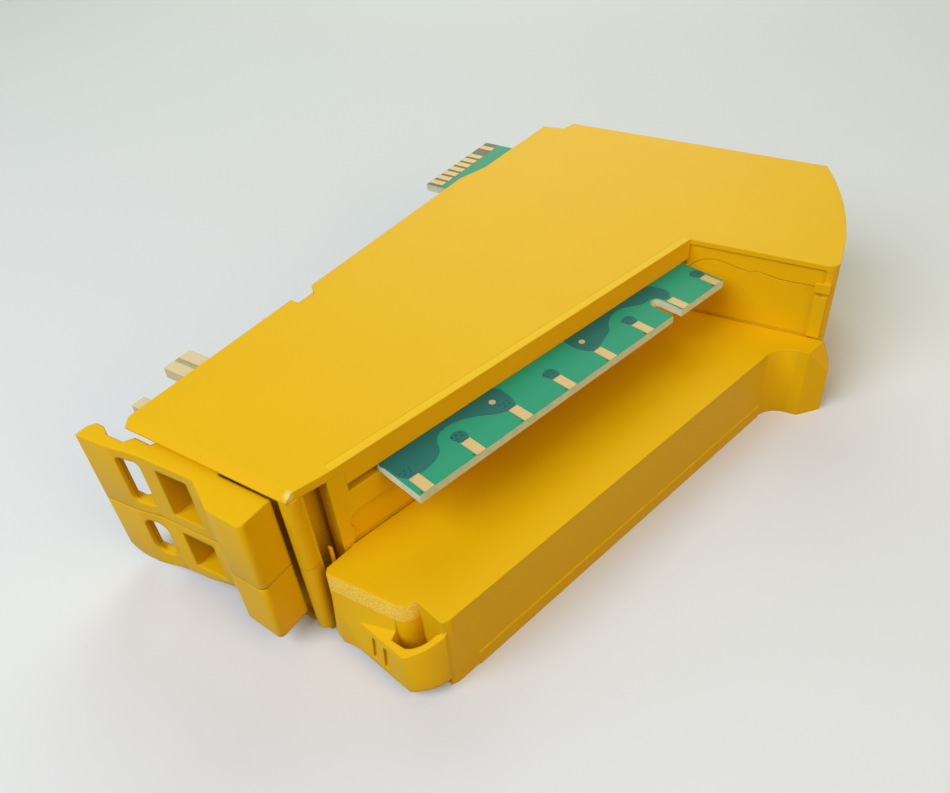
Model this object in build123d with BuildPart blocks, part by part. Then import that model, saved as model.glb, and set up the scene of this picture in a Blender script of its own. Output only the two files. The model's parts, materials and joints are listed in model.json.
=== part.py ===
from build123d import *
import os
from math import cos, radians, sin

os.makedirs("parts", exist_ok=True)

# Double-width slice module lying on its side plate, in millimetres.
# House coordinates: x runs from the lever end to the head, y = 0 is the rear edge,
# the field side points towards -y, and z = 0 is the lower side plate's outer face.

# Case
slice_pitch = 12.5
case_height = 2 * slice_pitch
plate = 1.2
wall = 1.4
end_depth = 25.9
front_start_x = 4.0
front_start_y = -27.55
front_slant = 13.7
front_length = 67.1
wing_slant = 4.5
wing_length = 21.9
wing_corner_radius = 1.6
head_corner_x = 102.85
head_corner_y = -54.7
dome_rise = 1.9
head_end_lean = 2.4
head_rear_drop = 6.7
head_step_drop = 2.0
head_step_start = 76.6
head_step_end = 96.9
lip_overhang = 0.9
lip_bevel = 1.0
lip_corner_radius = 0.1
rear_notch_x = 28.2
rear_notch_width = 4.3
rear_notch_depth = 1.85

# Wing wall: set back under the plate's lip, with a catch and a raised strip at its end
wing_lip = 0.85
wing_inset = 0.25
wing_inset_end = 20.3
catch_start = 19.2
catch_end = 21.4
catch_low = 20.5
catch_high = 22.1
catch_out = 0.4
strip_high = 19.7
strip_out = 0.12
bay_relief = 0.6
seam_gap = 0.1

# Front wall under the board: a shallow field with a stepped end
field_depth = 0.3
field_top = 17.0

# Corner post, slot beside it and the recess that the release levers sit in
post_radius = 1.25
post_x = 0.3
post_setback = 0.75
post_slot_start = -3.0
post_slot_end = -0.15
post_slot_depth = 2.4
slot_flange = 1.1
slot_fin_x = -1.75
slot_fin_depth = 0.5
slot_fin_width = 0.35
slot_fin_top = 14.05
board_corner = 7.0
recess_wall = 1.2
lever_recess = 2.5
block_recess = 0.7
recess_step = -16.5
recess_front = -24.4

# Main board and what is on it
board_thickness = 1.2
board_drop = 3.32
board_clearance = 0.3
tab_start = 6.6
tab_end_margin = 1.8
tab_reach = 7.55
pad_count = 8
pad_end_margin = 1.2
pad_first = 8.1
pad_width = 1.45
pad_length = 2.85
pad_inset = 0.02
pad_thickness = 0.05
key_slot_margin = 11.2
key_slot_width = 2.0
key_slot_depth = 4.6
tongue_start = 71.9
tongue_end = 92.0
tongue_reach = 8.4
finger_count = 7
finger_pitch = 2.05
finger_width = 1.35
finger_length = 2.9
finger_first = 1.5
lone_finger_offset = 16.4
test_pad_radius = 0.45
test_pad_xs = (23.1, 40.0)
test_pad_y = -2.0
board_slot_start = 2.2

# Second board and the posts that it rests on
lower_board_top = 7.2
rest_post_radius = 1.6
rest_posts = ((20, -12), (40, -27), (62, -12), (84, -40))

# Bus plugs at the rear
plug_large_x = 9.95
plug_large_width = 4.4
plug_large_height = 1.6
plug_large_reach = 6.4
plug_small_x = 3.05
plug_small_width = 1.9
plug_small_height = 1.05
plug_small_reach = 4.6
plug_root = 5.0
plug_bevel = 0.3
blade_width = 0.8
blade_depth = 0.5
blade_sunk = 0.15

# Blank in the lower terminal bay
blank_gap = 0.25
blank_height = slice_pitch - blank_gap
blank_depth = 16.57
blank_start = 0.88
blank_wall = 1.5
blank_corner = 1.0
neck_length = 3.9
neck_depth = 2.9
head_start = front_length + 2.7
head_width = 3.6
head_start_reach = 21.0
head_reach = 22.95
head_facet_drop = 4.45
ledge_start = 5.1
ledge_height = 2.3
ledge_step = 0.15
cap_bottom = 1.8
strip_drop = 2.25
boss_radius = 2.2
boss_bevel = 0.48
boss_x = 2.2
boss_y = -37.5
pocket_floor = 3.2
rim_slope_x = 0.54
rim_slope_y = 0.227
rim_bulge = 0.45

# Release levers
lever_top = 23.4
lever_bottom = 2.1
lever_bottom_middle = 2.9
lever_bottom_ramp = 4.5
lever_bottom_front = 3.3
lever_gap = 0.2
rib_inner = 0.2
block_out = 5.6
block_front = -23.5
block_inner = -0.9
hook_end = 5.6
top_corner_radius = 0.7
bottom_corner_radius = 3.5
pivot_x = 0.6
pivot_y = -12.6
pivot_radius = 0.8
lug_radius = 1.7
pivot_clearance = 0.05
pin_socket = 0.5

# Places worked out from the sizes above
slant = radians(front_slant)
lean = radians(wing_slant)
board_top = case_height - board_drop
board_bottom = board_top - board_thickness
cover_under = case_height - plate
tab_end = front_length - tab_end_margin
pad_pitch = (tab_end - pad_end_margin - pad_first) / (pad_count - 1)
key_slot_x = tab_end - key_slot_margin
head_end = head_start + head_width
notch = (front_start_x + front_length * cos(slant), front_start_y - front_length * sin(slant))
wing_corner = (notch[0] + wing_length * sin(lean), notch[1] - wing_length * cos(lean))
head_rear_x = head_corner_x - head_end_lean


def to_house(x, y):
    """A point given along and across the slanted front wall, in house coordinates."""
    return (
        front_start_x + x * cos(slant) + y * sin(slant),
        front_start_y - x * sin(slant) + y * cos(slant),
    )


mid_x = (head_corner_x - block_out) / 2
mid_y = (to_house(head_end, -head_reach)[1] + tongue_reach) / 2

house = Plane(origin=(-mid_x, -mid_y, 0))
front = Plane(
    origin=(front_start_x - mid_x, front_start_y - mid_y, 0),
    x_dir=(cos(slant), -sin(slant), 0),
    z_dir=(0, 0, 1),
)
front_face = Plane(origin=front.origin, x_dir=front.x_dir, z_dir=-front.y_dir)
wing_face = Plane(
    origin=(notch[0] - mid_x, notch[1] - mid_y, 0),
    x_dir=(sin(lean), -cos(lean), 0),
    z_dir=(-cos(lean), -sin(lean), 0),
)
end_face = Plane(origin=house.origin, x_dir=(0, -1, 0), z_dir=(-1, 0, 0))


def case_profile(left=0.0):
    """Outline of the case from above; left is how far the lever end stands out."""
    with BuildSketch() as profile:
        with BuildLine():
            Polyline(
                wing_corner,
                notch,
                (front_start_x, front_start_y),
                (-left, -end_depth),
                (-left, 0),
                (head_step_start - 5.6, 0),
                (head_step_start, 0.5 - head_step_drop),
                (head_step_end, -head_step_drop),
                (head_step_end + 0.7, 0.8 - head_rear_drop),
                (head_rear_x, -head_rear_drop),
                (head_corner_x, head_corner_y),
            )
            SagittaArc((head_corner_x, head_corner_y), wing_corner, dome_rise)
        make_face()
        corner = profile.vertices().sort_by_distance(wing_corner)[0]
        fillet(corner, wing_corner_radius)
    return profile.sketch


def recess_profile(extra=0.0):
    """Recess for the levers: deep behind the arms, shallow behind the finger blocks."""
    with BuildSketch() as recess:
        with Locations((lever_recess + extra, recess_step - extra)):
            Rectangle(4 * lever_recess, case_height + end_depth, align=(Align.MAX, Align.MIN))
        with Locations((block_recess + extra, recess_front)):
            Rectangle(4 * lever_recess, end_depth, align=(Align.MAX, Align.MIN))
    return recess.sketch


def hollow_profile(gap=0.0):
    """The hollow of the case, shrunk by gap, clear of the recess and the slot's flange."""
    with BuildSketch() as hollow:
        add(case_profile())
        offset(amount=-(wall + gap), kind=Kind.INTERSECTION, mode=Mode.REPLACE)
        add(recess_profile(recess_wall + gap), mode=Mode.SUBTRACT)
        with Locations((block_recess + recess_wall + gap, 0)):
            Rectangle(2 * lever_recess, 3 * end_depth, align=(Align.MAX, Align.CENTER), mode=Mode.SUBTRACT)
        with Locations(to_house(post_slot_end + slot_flange / 2, post_slot_depth / 2)):
            Rectangle(slot_flange, post_slot_depth, rotation=-front_slant, mode=Mode.SUBTRACT)
    return hollow.sketch


def post_slot():
    """Slot between the post and the front wall, open into the hollow."""
    with BuildSketch() as slot:
        with Locations(((post_slot_start + post_slot_end) / 2, 0)):
            Rectangle(post_slot_end - post_slot_start, 2 * post_slot_depth)
    return slot.sketch


def front_field():
    """Shallow field in the front wall under the board, with a stepped lever end."""
    low = slice_pitch - bay_relief
    with BuildSketch() as field:
        with BuildLine():
            Polyline(
                (2.7, field_top),
                (front_length - 0.5, field_top),
                (front_length - 0.5, low),
                (1.1, low),
                (1.9, 14.5),
                (1.4, 15.3),
                (1.5, 16.1),
                (2.4, field_top - 0.1),
                close=True,
            )
        make_face()
    return field.sketch


def wing_field():
    """Face of the wing that is set back, from just below the middle of the case to its top."""
    with BuildSketch() as field:
        with Locations((0, slice_pitch - bay_relief)):
            Rectangle(wing_inset_end, slice_pitch + bay_relief, align=(Align.MIN, Align.MIN))
    return field.sketch


# Lower case: side plate, walls, recess for the lever and the lower half of the post
with BuildPart() as lower_case:
    with BuildSketch(house):
        add(case_profile())
    extrude(amount=slice_pitch)
    with BuildSketch(house.offset(plate)):
        add(hollow_profile())
        add(recess_profile())
    extrude(amount=slice_pitch, mode=Mode.SUBTRACT)
    with BuildSketch(house.offset(plate)):
        with Locations((post_x, post_setback - end_depth)):
            Circle(post_radius)
    extrude(amount=slice_pitch - plate)
    with BuildSketch(front.offset(plate)):
        add(post_slot())
    extrude(amount=slice_pitch, mode=Mode.SUBTRACT)
    with BuildSketch(front.offset(plate)):
        with Locations((slot_fin_x, slot_fin_depth / 2)):
            Rectangle(slot_fin_width, slot_fin_depth)
    extrude(amount=slot_fin_top - plate)
    with BuildSketch(house.offset(plate)):
        with Locations(*rest_posts):
            Circle(rest_post_radius)
    extrude(amount=lower_board_top - board_thickness - plate)
    with BuildSketch(front_face.offset(1)):
        add(front_field())
    extrude(amount=-(1 + field_depth), mode=Mode.SUBTRACT)
    with BuildSketch(wing_face.offset(1)):
        add(wing_field())
    extrude(amount=-(1 + wing_inset), mode=Mode.SUBTRACT)
    with BuildSketch(house.offset(plate - pin_socket)):
        with Locations((pivot_x, pivot_y)):
            Circle(pivot_radius)
    extrude(amount=slice_pitch, mode=Mode.SUBTRACT)
lower_case.part.label = "lower_case"
export_step(lower_case.part, "parts/lower_case.step")


# Where the cover's rim meets the upper case along the wing, from the notch outwards
seam_start = 19.4
seam_crest = 22.05
seam_dip = 21.2
seam_low = 21.0


def wing_seam(top, reach, lift):
    """Closed face above the wavy parting line on the wing, up to the height top."""
    rise = (-0.2, seam_start + lift)
    dip = (9.6, seam_dip + lift)
    low = seam_low + lift
    with BuildSketch() as above:
        with BuildLine():
            Spline(
                rise, (1.4, 21.3 + lift), (3.4, seam_crest + lift), (6.0, seam_crest - 0.2 + lift), dip,
                tangents=((0.3, 1), (1, -0.14)),
            )
            Polyline(dip, (10.4, dip[1] + 0.4), (13.9, low), (reach, low))
            Polyline((reach, low), (reach, top), (-0.2, top), rise)
        make_face()
    return above.sketch


# Upper case: a ring of walls between the lower case and the cover
with BuildPart() as upper_case:
    with BuildSketch(house.offset(slice_pitch)):
        add(case_profile())
    extrude(amount=cover_under - slice_pitch)
    with BuildSketch(house.offset(slice_pitch)):
        add(hollow_profile())
        add(recess_profile())
    extrude(amount=case_height, mode=Mode.SUBTRACT)
    with BuildSketch(house.offset(slice_pitch)):
        with Locations((post_x, post_setback - end_depth)):
            Circle(post_radius)
    extrude(amount=cover_under - slice_pitch)
    with BuildSketch(front.offset(slice_pitch)):
        add(post_slot())
    extrude(amount=case_height, mode=Mode.SUBTRACT)
    with BuildSketch(front_face.offset(1)):
        with Locations(((board_slot_start + front_length) / 2, board_bottom)):
            Rectangle(front_length - board_slot_start, case_height, align=(Align.CENTER, Align.MIN))
    extrude(amount=-(wall + 1.5), mode=Mode.SUBTRACT)
    with BuildSketch(front_face.offset(1)):
        add(front_field())
    extrude(amount=-(1 + field_depth), mode=Mode.SUBTRACT)
    with BuildSketch(wing_face.offset(1)):
        add(wing_field())
    extrude(amount=-(1 + wing_inset), mode=Mode.SUBTRACT)
    with BuildSketch(wing_face.offset(3)):
        add(wing_seam(case_height, wing_inset_end, 0))
    extrude(amount=-(wall + 3.6), mode=Mode.SUBTRACT)
    with BuildSketch(wing_face.offset(-wing_inset + 0.03)):
        with Locations(((catch_start + catch_end) / 2, (catch_low + catch_high) / 2)):
            Rectangle(catch_end - catch_start, catch_high - catch_low)
    extrude(amount=wing_inset + catch_out)
    with BuildSketch(wing_face.offset(-wing_inset)):
        with Locations((catch_start + 0.1, slice_pitch)):
            Rectangle(catch_end - catch_start - 0.3, strip_high - slice_pitch, align=(Align.MIN, Align.MIN))
    extrude(amount=wing_inset + strip_out)
    with BuildSketch(house.offset(board_bottom)):
        with Locations(((tongue_start + tongue_end) / 2, 0)):
            Rectangle(tongue_end - tongue_start + 2 * board_clearance, 14)
    extrude(amount=case_height, mode=Mode.SUBTRACT)
    with BuildSketch(house.offset(board_top)):
        with Locations((plug_large_x + plug_large_width / 2, 0)):
            Rectangle(plug_large_width, 2 * plug_root)
        with Locations((plug_small_x + plug_small_width / 2, 0)):
            Rectangle(plug_small_width, 2 * plug_root)
    extrude(amount=case_height, mode=Mode.SUBTRACT)
upper_case.part.label = "upper_case"
export_step(upper_case.part, "parts/upper_case.step")


# Cover: the upper side plate with its bevelled lever end and the rim over the board
with BuildPart() as cover:
    with BuildSketch(house.offset(cover_under)):
        add(case_profile(lip_overhang))
    extrude(amount=plate)
    rim = cover.faces().sort_by(Axis.Z)[-1].edges().sort_by(Axis.X)[0]
    chamfer(rim, lip_bevel, lip_overhang)
    tip = (-lip_overhang - mid_x, -end_depth - mid_y, case_height - lip_bevel)
    fillet(cover.edges().sort_by_distance(tip)[:1], lip_corner_radius)
    with BuildSketch(front_face):
        with Locations((board_slot_start, board_top)):
            Rectangle(front_length - board_slot_start, cover_under - board_top, align=(Align.MIN, Align.MIN))
    extrude(amount=-wall)
    with BuildSketch(wing_face.offset(1)):
        with Locations((0, cover_under)):
            Rectangle(wing_inset_end, plate - wing_lip, align=(Align.MIN, Align.MIN))
    extrude(amount=-(1 + wing_inset), mode=Mode.SUBTRACT)
    with BuildSketch(wing_face.offset(-wing_inset)):
        add(wing_seam(cover_under, wing_inset_end, seam_gap))
    extrude(amount=wing_inset - wall)
    with BuildSketch(house.offset(cover_under)):
        with BuildLine():
            Polyline(
                (rear_notch_x, 1),
                (rear_notch_x, -rear_notch_depth),
                (rear_notch_x + 0.67 * rear_notch_width, -rear_notch_depth),
                (rear_notch_x + rear_notch_width, 0),
                (rear_notch_x + rear_notch_width, 1),
                close=True,
            )
        make_face()
    extrude(amount=plate, mode=Mode.SUBTRACT)
    with BuildSketch(house.offset(cover_under)):
        with Locations((pivot_x, pivot_y)):
            Circle(pivot_radius)
    extrude(amount=pin_socket, mode=Mode.SUBTRACT)
cover.part.label = "cover"
export_step(cover.part, "parts/cover.step")


# Blank terminal block filling the lower bay, open towards the case.
# Its cap steps out towards the lever end, with a rounded boss in an open pocket.
neck_start = (head_start - 0.5 - neck_length, -blank_depth)
neck_end = (head_start - 0.5, -blank_depth - neck_depth)
wing_foot = (
    front_length + (wing_length - 0.5) * sin(slant + lean),
    -(wing_length - 0.5) * cos(slant + lean),
)
head_facet = Plane(
    origin=front.from_local_coords((head_start, -head_start_reach, blank_height)),
    x_dir=front.x_dir,
    z_dir=front.y_dir * -head_facet_drop + Vector(0, 0, head_reach - head_start_reach),
)
rim_top = Plane(
    origin=house.from_local_coords((-2.47, -40.0, 7.5)),
    z_dir=(-rim_slope_x, rim_slope_y, 1),
)


def cap_section(rear, corner, strip_end):
    """Section of the cap: its rear corner, left corner and the strip's end; the rest is in the block."""
    with BuildSketch() as section:
        with BuildLine():
            Polyline(rear, corner, strip_end, (boss_x, boss_y - 1), to_house(2, -1), to_house(2, 0), rear)
        make_face()
    return section.sketch


def rim_section(crease, corner, end):
    """Section of the rim around the pocket, from the crease to the block's front face."""
    with BuildSketch() as section:
        with BuildLine():
            Line(crease, corner)
            SagittaArc(corner, to_house(*end), -rim_bulge)
            Polyline(to_house(*end), to_house(2.5, -blank_depth + 0.6), (2.5, crease[1]), crease)
        make_face()
    return section.sketch


with BuildPart() as terminal_blank:
    with BuildSketch(house.offset(cap_bottom)):
        add(rim_section((-1.32, -31.9), (-2.98, -40.58), (0.6, -blank_depth)))
    with BuildSketch(house.offset(10.3)):
        add(rim_section((0.25, -30.7), (-2.22, -39.7), (0.9, -blank_depth)))
    loft(ruled=True)
    with BuildSketch(rim_top):
        Rectangle(40, 60)
    extrude(amount=case_height, mode=Mode.SUBTRACT)
    with BuildSketch(house.offset(cap_bottom)):
        add(cap_section((-0.71, -27.67), (-1.43, -29.39), (-1.06, -37.3)))
    with BuildSketch(house.offset(blank_height - strip_drop)):
        add(cap_section((0.5, -27.4), (-0.39, -28.27), (-0.02, boss_y)))
    loft(ruled=True)
    with BuildSketch(house.offset(blank_height - strip_drop)):
        add(cap_section((0.5, -27.4), (-0.39, -28.27), (-0.02, boss_y)))
    with BuildSketch(house.offset(blank_height)):
        add(cap_section((0.78, -27.35), (0.09, -27.77), (0.46, boss_y)))
    loft(ruled=True)
    with BuildSketch(front):
        with BuildLine():
            Polyline(
                (blank_start, 0),
                (blank_start, 0.3 - blank_depth),
                (blank_start + blank_corner, -blank_depth),
                neck_start,
            )
            TangentArc(neck_start, neck_end, tangent=(1, 0))
            Polyline(
                neck_end,
                (head_start, -head_start_reach),
                (head_end, -head_reach),
                (head_end + 0.8, 0.7 - head_reach),
                wing_foot,
                (front_length, 0),
                (blank_start, 0),
            )
        make_face()
    extrude(amount=blank_height)
    with BuildSketch(head_facet):
        Rectangle(2 * head_width, 3 * head_facet_drop, align=(Align.MIN, Align.CENTER))
    extrude(amount=head_facet_drop, mode=Mode.SUBTRACT)
    with BuildSketch(house.offset(pocket_floor)):
        with BuildLine():
            Polyline((boss_x, boss_y), (-1.2, boss_y), (-1.5, -39.7))
            SagittaArc((-1.5, -39.7), to_house(0.4, -blank_depth + 1.1), -rim_bulge)
            Polyline(
                to_house(0.4, -blank_depth + 1.1),
                to_house(blank_start, -blank_depth + 0.7),
                to_house(blank_start, -10),
                (boss_x, boss_y),
            )
        make_face()
    extrude(amount=blank_height, mode=Mode.SUBTRACT)
    with BuildSketch(house.offset(pocket_floor)):
        with Locations((boss_x, boss_y)):
            Circle(boss_radius)
    extrude(amount=blank_height - strip_drop - pocket_floor)
    with BuildSketch(house.offset(blank_height - strip_drop)):
        with Locations((boss_x, boss_y)):
            Circle(boss_radius)
    with BuildSketch(house.offset(blank_height)):
        with Locations((boss_x, boss_y)):
            Circle(boss_radius - boss_bevel)
    loft()
    with BuildSketch(front.offset(blank_wall)):
        with Locations((blank_start + 2 * blank_wall, 0)):
            Rectangle(
                head_start - blank_start - 5 * blank_wall,
                2 * (blank_depth - blank_wall),
                align=(Align.MIN, Align.CENTER),
            )
    extrude(amount=blank_height - 2 * blank_wall, mode=Mode.SUBTRACT)
    with BuildSketch(front):
        with Locations((ledge_start, -blank_depth)):
            Rectangle(neck_start[0] - ledge_start, 2 * ledge_step, align=(Align.MIN, Align.CENTER))
    extrude(amount=ledge_height)
terminal_blank.part.label = "terminal_blank"
export_step(terminal_blank.part, "parts/terminal_blank.step")


# Release levers: a windowed arm with a hook at the rear and a finger block at the front.
# The arm is a thin panel with deep ribs behind it, which the windows show.
arm_bend_rear = (-4.04, 0.15)
arm_bend_front = (-3.3, -4.0)
ramp_foot = (-2.9, -13.4)
ramp_head = (0.2 - block_out, -18.2)
block_tip = (-block_out, block_front)
hook_tip = (-4.4, hook_end)


def lever_plan():
    """Plan of a lever: hook, arm, ramp, finger block, ribs and pivot lug."""
    with BuildSketch() as plan:
        with BuildLine():
            Polyline(
                hook_tip,
                arm_bend_rear,
                arm_bend_front,
                ramp_foot,
                ramp_head,
                block_tip,
                (block_inner, block_front),
                (block_inner, -15.6),
                (rib_inner, -14.4),
                (rib_inner, -5.2),
                (-1.2, -4.6),
                (-1.2, -1.9),
                (-2.4, -1.2),
                (-2.5, 1.7),
                (-1.65, 3.3),
                (-1.7, 4.5),
                (-3.2, hook_end),
                close=True,
            )
        make_face()
        rounds = (
            (hook_tip, 0.6), (arm_bend_rear, 6), (arm_bend_front, 6),
            (ramp_foot, 2.5), (ramp_head, 1.2), (block_tip, 0.7),
        )
        for bend, radius in rounds:
            fillet(plan.vertices().sort_by_distance(bend)[0], radius)
        with Locations((pivot_x, pivot_y)):
            Circle(lug_radius)
    return plan.sketch


def pocket_plan(y_rear, y_front, skin_rear, skin_front):
    """Plan of a pocket behind a window; the skins are the panel's inner face at its two ends."""
    with BuildSketch() as pocket:
        with BuildLine():
            Polyline((skin_rear, y_rear), (skin_front, y_front), (5, y_front), (5, y_rear), close=True)
        make_face()
    return pocket.sketch


def window(y_rear, y_front, z_low, z_high, corner):
    """Rounded window through the arm, given by its rear and front ends."""
    with Locations(((-y_rear - y_front) / 2, (z_low + z_high) / 2)):
        RectangleRounded(y_rear - y_front, z_high - z_low, corner)


def corner_waste(u, z, radius, up):
    """What a rounding takes off the rear corner of a lever's side; up is 1 above and -1 below."""
    middle = (u + radius, z - up * radius)
    reach = radius * cos(radians(45))
    with BuildSketch() as waste:
        with BuildLine():
            ThreePointArc((u, middle[1]), (middle[0] - reach, middle[1] + up * reach), (middle[0], z))
            Polyline((middle[0], z), (middle[0], z + up), (u - 1, z + up), (u - 1, middle[1]), (u, middle[1]))
        make_face()
    return waste.sketch


window_top = 22.0
window_bottom = 14.3
window_cut = 7.6

with BuildPart() as release_lever_upper:
    with BuildSketch(house.offset(slice_pitch + lever_gap / 2)):
        add(lever_plan())
    extrude(amount=lever_top - slice_pitch - lever_gap / 2)
    with BuildSketch(end_face.offset(8)):
        add(corner_waste(-hook_end, lever_top, top_corner_radius, 1))
    extrude(amount=-10, mode=Mode.SUBTRACT)
    with BuildSketch(house.offset(window_bottom)):
        add(pocket_plan(0.6, -5.2, -3.45, -2.75))
        add(pocket_plan(-6.95, -11.9, -2.65, -2.45))
    extrude(amount=window_top - window_bottom, mode=Mode.SUBTRACT)
    with BuildSketch(end_face.offset(8)):
        window(-0.5, -4.15, window_bottom, window_top, 0.9)
        window(-6.95, -11.9, window_bottom, window_top, 0.2)
    extrude(amount=-window_cut, mode=Mode.SUBTRACT)
    with BuildSketch(end_face.offset(8)):
        with BuildLine():
            Line((14.1, 17.7), (14.3, 22.0))
            ThreePointArc((14.3, 22.0), (15.1, 20.4), (14.1, 17.7))
        make_face()
    extrude(amount=-window_cut, mode=Mode.SUBTRACT)
    with BuildSketch(house):
        with Locations((pivot_x, pivot_y)):
            Circle(pivot_radius + pivot_clearance)
    extrude(amount=case_height, mode=Mode.SUBTRACT)
release_lever_upper.part.label = "release_lever_upper"
export_step(release_lever_upper.part, "parts/release_lever_upper.step")

low_window_top = 11.0
low_window_bottom = 4.6

with BuildPart() as release_lever_lower:
    with BuildSketch(house.offset(lever_bottom)):
        add(lever_plan())
    extrude(amount=slice_pitch - lever_gap / 2 - lever_bottom)
    with BuildSketch(end_face.offset(8)):
        with BuildLine():
            Polyline(
                (0, 0), (0, lever_bottom), (9, lever_bottom_middle), (15, lever_bottom_ramp),
                (24, lever_bottom_front), (24, 0),
                close=True,
            )
        make_face()
        add(corner_waste(-hook_end, lever_bottom, bottom_corner_radius, -1))
    extrude(amount=-10, mode=Mode.SUBTRACT)
    with BuildSketch(house.offset(low_window_bottom)):
        add(pocket_plan(0.6, -5.2, -3.45, -2.75))
        add(pocket_plan(-6.9, -11.9, -2.65, -2.45))
    extrude(amount=low_window_top - low_window_bottom, mode=Mode.SUBTRACT)
    with BuildSketch(end_face.offset(8)):
        window(-0.3, -3.9, low_window_bottom, low_window_top, 1.5)
        window(-6.9, -12.0, low_window_bottom, low_window_top, 0.2)
    extrude(amount=-window_cut, mode=Mode.SUBTRACT)
    with BuildSketch(house):
        with Locations((pivot_x, pivot_y)):
            Circle(pivot_radius + pivot_clearance)
    extrude(amount=case_height, mode=Mode.SUBTRACT)
release_lever_lower.part.label = "release_lever_lower"
export_step(release_lever_lower.part, "parts/release_lever_lower.step")

# One pin carries both levers; its ends sit in the lower case and in the cover
with BuildPart() as lever_pin:
    with BuildSketch(house.offset(plate - pin_socket)):
        with Locations((pivot_x, pivot_y)):
            Circle(pivot_radius)
    extrude(amount=case_height - 2 * plate + 2 * pin_socket)
lever_pin.part.label = "lever_pin"
export_step(lever_pin.part, "parts/lever_pin.step")


def board_profile():
    """Outline of a board inside the case, clear of the slot beside the post."""
    with BuildSketch() as board:
        add(hollow_profile(board_clearance))
        with Locations(to_house(board_corner, 0)):
            Rectangle(2 * board_corner, 3 * board_corner, align=(Align.MAX, Align.CENTER), mode=Mode.SUBTRACT)
    return board.sketch


# Main board: fills the case, stands out at the field side and ends in the bus tongue
with BuildPart() as main_board:
    with BuildSketch(house.offset(board_bottom)):
        add(board_profile())
        with Locations(((tongue_start + tongue_end) / 2, tongue_reach)):
            Rectangle(tongue_end - tongue_start, tongue_reach + 6, align=(Align.CENTER, Align.MAX))
    extrude(amount=board_thickness)
    with BuildSketch(front.offset(board_bottom)):
        with Locations((tab_start, -tab_reach)):
            Rectangle(tab_end - tab_start, tab_reach + wall + 1, align=(Align.MIN, Align.MIN))
    extrude(amount=board_thickness)
    with BuildSketch(front.offset(board_bottom)):
        with Locations((key_slot_x, -tab_reach)):
            SlotOverall(2 * key_slot_depth, key_slot_width, rotation=90)
    extrude(amount=board_thickness, mode=Mode.SUBTRACT)
main_board.part.label = "main_board"
export_step(main_board.part, "parts/main_board.step")

with BuildPart() as io_contact_pads:
    with BuildSketch(front.offset(board_top)):
        with Locations(*[(pad_first + i * pad_pitch, -tab_reach + pad_inset) for i in range(pad_count)]):
            Rectangle(pad_width, pad_length, align=(Align.CENTER, Align.MIN))
    extrude(amount=pad_thickness)
io_contact_pads.part.label = "io_contact_pads"
export_step(io_contact_pads.part, "parts/io_contact_pads.step")

with BuildPart() as test_pads:
    with BuildSketch(front.offset(board_top)):
        with Locations(*[(x, test_pad_y) for x in test_pad_xs]):
            Circle(test_pad_radius)
    extrude(amount=pad_thickness)
test_pads.part.label = "test_pads"
export_step(test_pads.part, "parts/test_pads.step")

with BuildPart() as bus_fingers:
    with BuildSketch(house.offset(board_top)):
        first = tongue_start + finger_first
        places = [(first + i * finger_pitch, tongue_reach - pad_inset) for i in range(finger_count)]
        places.append((first + lone_finger_offset, tongue_reach - pad_inset))
        with Locations(*places):
            Rectangle(finger_width, finger_length, align=(Align.CENTER, Align.MAX))
    extrude(amount=pad_thickness)
bus_fingers.part.label = "bus_fingers"
export_step(bus_fingers.part, "parts/bus_fingers.step")

with BuildPart() as lower_board:
    with BuildSketch(house.offset(lower_board_top - board_thickness)):
        add(board_profile())
    extrude(amount=board_thickness)
lower_board.part.label = "lower_board"
export_step(lower_board.part, "parts/lower_board.step")


# Bus plugs on the main board, with the contact blade let into the larger one
def plug_bar(x, width, height, reach):
    """Bar lying on the board and standing out at the rear, with bevelled tip."""
    with BuildPart() as bar:
        with BuildSketch(house.offset(board_top)):
            with Locations((x, reach)):
                Rectangle(width, reach + plug_root, align=(Align.MIN, Align.MAX))
        extrude(amount=height)
        tip = bar.faces().sort_by(Axis.Y)[-1].edges()
        chamfer(tip, plug_bevel)
    return bar.part


with BuildPart() as bus_plug_large:
    add(plug_bar(plug_large_x, plug_large_width, plug_large_height, plug_large_reach))
    with BuildSketch(house.offset(board_top + plug_large_height - blade_depth)):
        with Locations((plug_large_x + plug_large_width / 2, plug_large_reach + 1)):
            Rectangle(blade_width, plug_large_reach + 3, align=(Align.CENTER, Align.MAX))
    extrude(amount=plug_large_height, mode=Mode.SUBTRACT)
bus_plug_large.part.label = "bus_plug_large"
export_step(bus_plug_large.part, "parts/bus_plug_large.step")

with BuildPart() as bus_plug_small:
    add(plug_bar(plug_small_x, plug_small_width, plug_small_height, plug_small_reach))
bus_plug_small.part.label = "bus_plug_small"
export_step(bus_plug_small.part, "parts/bus_plug_small.step")

with BuildPart() as plug_blade:
    with BuildSketch(house.offset(board_top + plug_large_height - blade_depth)):
        with Locations((plug_large_x + plug_large_width / 2, plug_large_reach - 0.2)):
            Rectangle(blade_width, plug_large_reach + 1.8, align=(Align.CENTER, Align.MAX))
    extrude(amount=blade_depth - blade_sunk)
plug_blade.part.label = "plug_blade"
export_step(plug_blade.part, "parts/plug_blade.step")


# Parts soldered to the boards
header_x, header_y = 40.0, -8.0
header_length, header_width = 25.4, 5.0
header_rows = 10
header_pitch = 2.54
pin_size = 0.64

with BuildPart() as header_socket:
    with BuildSketch(house.offset(lower_board_top)):
        with Locations((header_x, header_y)):
            Rectangle(header_length, header_width)
            with GridLocations(header_pitch, header_pitch, header_rows, 2):
                Rectangle(pin_size + 0.1, pin_size + 0.1, mode=Mode.SUBTRACT)
    extrude(amount=8.5)
header_socket.part.label = "header_socket"
export_step(header_socket.part, "parts/header_socket.step")

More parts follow.
